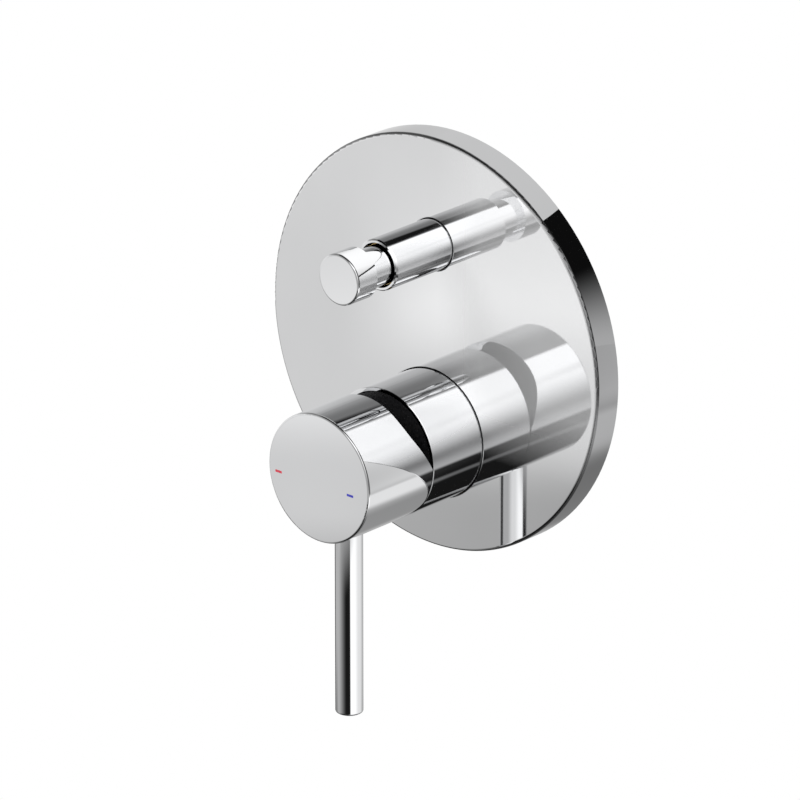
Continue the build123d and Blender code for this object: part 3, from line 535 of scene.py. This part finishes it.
def soft_step(value, start, end, low, high):
    """A soft step from low to high between two places."""
    node = tent_tree.nodes.new("ShaderNodeMapRange")
    node.interpolation_type = "SMOOTHSTEP"
    for socket, given in zip(("From Min", "From Max", "To Min", "To Max"), (start, end, low, high)):
        node.inputs[socket].default_value = given
    tent_tree.links.new(value, node.inputs["Value"])
    return node.outputs["Result"]


def along(direction, axis):
    """How far a direction goes along an axis."""
    node = tent_tree.nodes.new("ShaderNodeVectorMath")
    node.operation = "DOT_PRODUCT"
    node.inputs[1].default_value = axis
    tent_tree.links.new(direction, node.inputs[0])
    return node.outputs["Value"]


place = tent_tree.nodes.new("ShaderNodeTexCoord")
unit = tent_tree.nodes.new("ShaderNodeVectorMath")
unit.operation = "NORMALIZE"
tent_tree.links.new(place.outputs["Object"], unit.inputs[0])
toward = unit.outputs["Vector"]
in_degrees = 180 / math.pi
height = number("MULTIPLY", number("ARCSINE", along(toward, (0, 0, 1))), in_degrees)
print("directions from", len(tent_tree.nodes), "shader nodes")


# %% One card
def card(glow, azimuths, elevations, tones, softness):
    """Lays one card over the glow so far, with a tone at its bottom and one at its top."""
    middle = math.radians(sum(azimuths) / 2)
    half = (azimuths[1] - azimuths[0]) / 2
    side, below, above = softness
    ahead = along(toward, (math.sin(middle), -math.cos(middle), 0))
    aside = along(toward, (math.cos(middle), math.sin(middle), 0))
    swing = number("ABSOLUTE", number("MULTIPLY", number("ARCTAN2", aside, ahead), in_degrees))
    cover = soft_step(swing, half - side, half + side, 1, 0)
    cover = number("MULTIPLY", cover, soft_step(height, elevations[0] - below, elevations[0] + below, 0, 1))
    cover = number("MULTIPLY", cover, soft_step(height, elevations[1] - above, elevations[1] + above, 1, 0))
    own = soft_step(height, *elevations, *tones)
    return number("ADD", glow, number("MULTIPLY", cover, number("SUBTRACT", own, glow)))


print("card tool ready")

# %% The tent's bright and dark cards
# Each card has azimuths, elevations, tones at its bottom and top, and softness at its sides, bottom and
# top. Angles are in degrees, and a later card lies over an earlier one.
cards = {
    "dark ceiling": ((-110, 125), (52, 100), (0.04, 0.04), (18, 5, 1)),
    "white back, for the rim and the knob": ((130, 230), (-24, 72), (0.90, 1.15), (10, 6, 8)),
    "pale left": ((-108, -50), (-14, 20), (0.9, 0.8), (10, 8, 6)),
    "dark band over the sleeves": ((-112, 14), (18, 44), (0.42, 0.005), (10, 6, 30)),
    "grey front": ((-30, 34), (-24, 26), (0.42, 0.34), (8, 6, 8)),
    "dark right": ((58, 118), (-24, 44), (0.14, 0.08), (3, 3, 6)),
    "white strip on the sleeves": ((4, 58), (24, 51), (1.4, 1.4), (3, 6, 2)),
    "black above the diverter": ((-60, 0), (42.5, 62), (0.01, 0.01), (2.5, 2.5, 6)),
    "fading side of the sleeves": ((33, 58), (-16, 26), (0.15, 1.4), (5, 10, 8)),
    "what the plate and the faces see": ((-64, -30), (-25.8, -4), (0.68, 0.76), (8, 1.5, 8)),
    "bright patch in the plate": ((-43, -24), (-20.6, -15), (0.98, 0.86), (2.5, 2, 4)),
    "dark low left, for the lever": ((-135, -58), (-64, -34), (0.14, 0.14), (8, 6, 4)),
    "thin dark line on the lever": ((-128, -94), (-37, -25), (0.05, 0.05), (4, 3, 2)),
    "black below the sleeves": ((-40, 36), (-80, -39), (0.01, 0.01), (8, 1, 3)),
    "black low front, for lever and sleeves": ((-18, 70), (-39, -26), (0.01, 0.01), (36, 3, 2)),
    "bright stripe on the lever": ((47, 125), (-42, -26), (1.2, 1.2), (3, 4, 2)),
    "white low right, for lever and handle": ((98, 160), (-42, -26), (0.85, 0.85), (24, 4, 2)),
    "grey under the handle": ((150, 210), (-70, -38), (0.3, 0.3), (10, 4, 4)),
}
shell_from, shell_to = -66, -40
shell_low, shell_high = 0.12, 0.48
glow = soft_step(height, shell_from, shell_to, shell_low, shell_high)
for azimuths, elevations, tones, softness in cards.values():
    glow = card(glow, azimuths, elevations, tones, softness)
light = tent_tree.nodes.new("ShaderNodeEmission")
tent_tree.links.new(glow, light.inputs["Strength"])
surface = tent_tree.nodes.new("ShaderNodeOutputMaterial")
tent_tree.links.new(light.outputs["Emission"], surface.inputs["Surface"])
print("tent painted with", len(cards), "cards")

# %% [markdown]
# ## A black flag beside the rim
# The plate's rim and the knob's side face the same way, so a card on the tent would darken both. The
# rim alone has a black band, so here the photographer's trick is a flag: a strip of black card close
# behind the plate's edge, where the rim sees it and the knob doesn't. A short edge, spun part of the way
# round the plate's axis, makes the strip. Its paint fades to pale grey at the lower end.

# %% The flag
flag_inner, flag_outer, flag_back = 85.5 * mm, 98.8 * mm, 12 * mm
flag_start, flag_sweep = math.radians(9.5), math.radians(44)
flag_mesh = bmesh.new()
strip_end = [flag_mesh.verts.new((r * math.cos(flag_start), flag_back, r * math.sin(flag_start)))
             for r in (flag_inner, flag_outer)]
strip_end.append(flag_mesh.edges.new(strip_end))
bmesh.ops.spin(flag_mesh, geom=strip_end, cent=(0, 0, 0), axis=(0, -1, 0), angle=flag_sweep, steps=60)
flag_data = bpy.data.meshes.new("rim_flag")
flag_mesh.to_mesh(flag_data)
flag_mesh.free()
flag = bpy.data.objects.new("rim_flag", flag_data)
bpy.context.scene.collection.objects.link(flag)
flag.visible_camera = False
flag.visible_diffuse = False
flag.visible_shadow = False
flag.visible_transmission = False
print("flag:", len(flag_data.polygons), "strips")

# %% Paint on the flag
flag_paint = bpy.data.materials.new("flag_paint")
flag_paint.use_nodes = True
tree = flag_paint.node_tree
tree.nodes.clear()
spot = tree.nodes.new("ShaderNodeSeparateXYZ")
tree.links.new(on_piece(tree), spot.inputs["Vector"])
slope = tree.nodes.new("ShaderNodeMath")
slope.operation = "ARCTAN2"
tree.links.new(spot.outputs["Z"], slope.inputs[0])
tree.links.new(spot.outputs["X"], slope.inputs[1])
fade_end = math.radians(34.5)
fade = between(tree, slope.outputs["Value"], 0.78, 0.008, flag_start, fade_end)
fade.node.interpolation_type = "SMOOTHSTEP"
paint = tree.nodes.new("ShaderNodeEmission")
tree.links.new(fade, paint.inputs["Strength"])
flag_surface = tree.nodes.new("ShaderNodeOutputMaterial")
tree.links.new(paint.outputs["Emission"], flag_surface.inputs["Surface"])
flag_data.materials.append(flag_paint)
print("flag black above", round(math.degrees(fade_end), 1), "degrees")

# %% [markdown]
# ## Floor, room and lamps
# The product is shown on pure white, so the floor and the room are white to the camera. Matt pieces see
# a pale grey floor and a room about half as bright, and keep their own colours. From below the floor is
# clear, so that it never hides the mixer. Three soft lamps shape what isn't a mirror: a broad one high on
# the left, a weaker one on the right, and one behind for the brass body. They stay out of the
# reflections, which belong to the tent.

# %% White floor
floor_half, floor_level = 4, -0.9
floor_mesh = bmesh.new()
bmesh.ops.create_grid(floor_mesh, x_segments=1, y_segments=1, size=floor_half)
floor_data = bpy.data.meshes.new("floor")
floor_mesh.to_mesh(floor_data)
floor_mesh.free()
floor_data.transform(Matrix.Translation((0, 0, floor_level)))
floor = bpy.data.objects.new("floor", floor_data)
bpy.context.scene.collection.objects.link(floor)
floor.visible_glossy = False
print("floor at", floor_level, "m")

# %% Paint on the floor
floor_paint = bpy.data.materials.new("pale_floor")
floor_paint.use_nodes = True
tree = floor_paint.node_tree
tree.nodes.clear()
matt = tree.nodes.new("ShaderNodeBsdfDiffuse")
matt.inputs["Color"].default_value = (0.8, 0.8, 0.8, 1)
white = tree.nodes.new("ShaderNodeEmission")
white.inputs["Strength"].default_value = 1.0
clear = tree.nodes.new("ShaderNodeBsdfTransparent")
path = tree.nodes.new("ShaderNodeLightPath")
side = tree.nodes.new("ShaderNodeNewGeometry")
seen = tree.nodes.new("ShaderNodeMixShader")
from_above = tree.nodes.new("ShaderNodeMixShader")
out = tree.nodes.new("ShaderNodeOutputMaterial")
tree.links.new(path.outputs["Is Camera Ray"], seen.inputs["Fac"])
tree.links.new(matt.outputs["BSDF"], seen.inputs[1])
tree.links.new(white.outputs["Emission"], seen.inputs[2])
tree.links.new(side.outputs["Backfacing"], from_above.inputs["Fac"])
tree.links.new(seen.outputs["Shader"], from_above.inputs[1])
tree.links.new(clear.outputs["BSDF"], from_above.inputs[2])
tree.links.new(from_above.outputs["Shader"], out.inputs["Surface"])
floor_data.materials.append(floor_paint)
print("floor paint of", len(tree.nodes), "shader nodes")

# %% White room
room = bpy.data.worlds.new("white_room")
bpy.context.scene.world = room
room.use_nodes = True
tree = room.node_tree
tree.nodes.clear()
backdrop = tree.nodes.new("ShaderNodeBackground")
backdrop.inputs["Strength"].default_value = 1.0
room_light = 0.55
fill = tree.nodes.new("ShaderNodeBackground")
fill.inputs["Strength"].default_value = room_light
path = tree.nodes.new("ShaderNodeLightPath")
glossy = tree.nodes.new("ShaderNodeMath")
glossy.operation = "MAXIMUM"
bright = tree.nodes.new("ShaderNodeMath")
bright.operation = "MAXIMUM"
choice = tree.nodes.new("ShaderNodeMixShader")
out = tree.nodes.new("ShaderNodeOutputWorld")
for source in (backdrop, fill):
    source.inputs["Color"].default_value = (1, 1, 1, 1)
tree.links.new(path.outputs["Is Glossy Ray"], glossy.inputs[0])
tree.links.new(path.outputs["Is Transmission Ray"], glossy.inputs[1])
tree.links.new(path.outputs["Is Camera Ray"], bright.inputs[0])
tree.links.new(glossy.outputs["Value"], bright.inputs[1])
tree.links.new(bright.outputs["Value"], choice.inputs["Fac"])
tree.links.new(fill.outputs["Background"], choice.inputs[1])
tree.links.new(backdrop.outputs["Background"], choice.inputs[2])
tree.links.new(choice.outputs["Shader"], out.inputs["Surface"])
print("room white to the camera, and lights matt pieces at", room_light)


# %% Lamps
def soft_lamp(name, place, size, watts):
    """A square softbox aimed at the plate, out of sight of the camera and of reflections."""
    data = bpy.data.lights.new(name, "AREA")
    data.size = size
    data.energy = watts
    lamp = bpy.data.objects.new(name, data)
    lamp.location = place
    lamp.rotation_euler = (-Vector(place)).to_track_quat("-Z", "Y").to_euler()
    lamp.visible_camera = False
    lamp.visible_glossy = False
    bpy.context.scene.collection.objects.link(lamp)
    return lamp


lamps = [soft_lamp("key", (-0.9, -1.1, 1.2), 0.8, 14), soft_lamp("fill", (1.2, -0.8, 0.5), 0.8, 6),
         soft_lamp("rear", (0.3, 1.4, 0.9), 0.9, 8)]
print(len(lamps), "lamps")

# %% [markdown]
# ## Camera
# The photograph looks at the plate from the right and above with a long lens, so parallel edges stay
# nearly parallel. A few distances were tried. At this one, the swing, the rise and the lens were fitted
# to the outlines of the plate, the handle, the knob and the sleeves.

# %% Camera
swing, rise = math.radians(42.182), math.radians(21.387)
distance, lens = 2.5, 325.26
aside, above = 0.018515, 0.022506
away = Vector((math.sin(swing) * math.cos(rise), -math.cos(swing) * math.cos(rise), math.sin(rise)))
right = Vector((math.cos(swing), math.sin(swing), 0))
up = away.cross(right)
camera_data = bpy.data.cameras.new("camera")
camera_data.sensor_width = 36
camera_data.lens = lens
camera = bpy.data.objects.new("camera", camera_data)
turn = Matrix((right, up, away)).transposed().to_4x4()
camera.matrix_world = Matrix.Translation(away * distance - right * aside - up * above) @ turn
bpy.context.scene.collection.objects.link(camera)
bpy.context.scene.camera = camera
bpy.context.scene.view_settings.view_transform = "Standard"
print("camera", distance, "m away with a", round(lens), "mm lens")
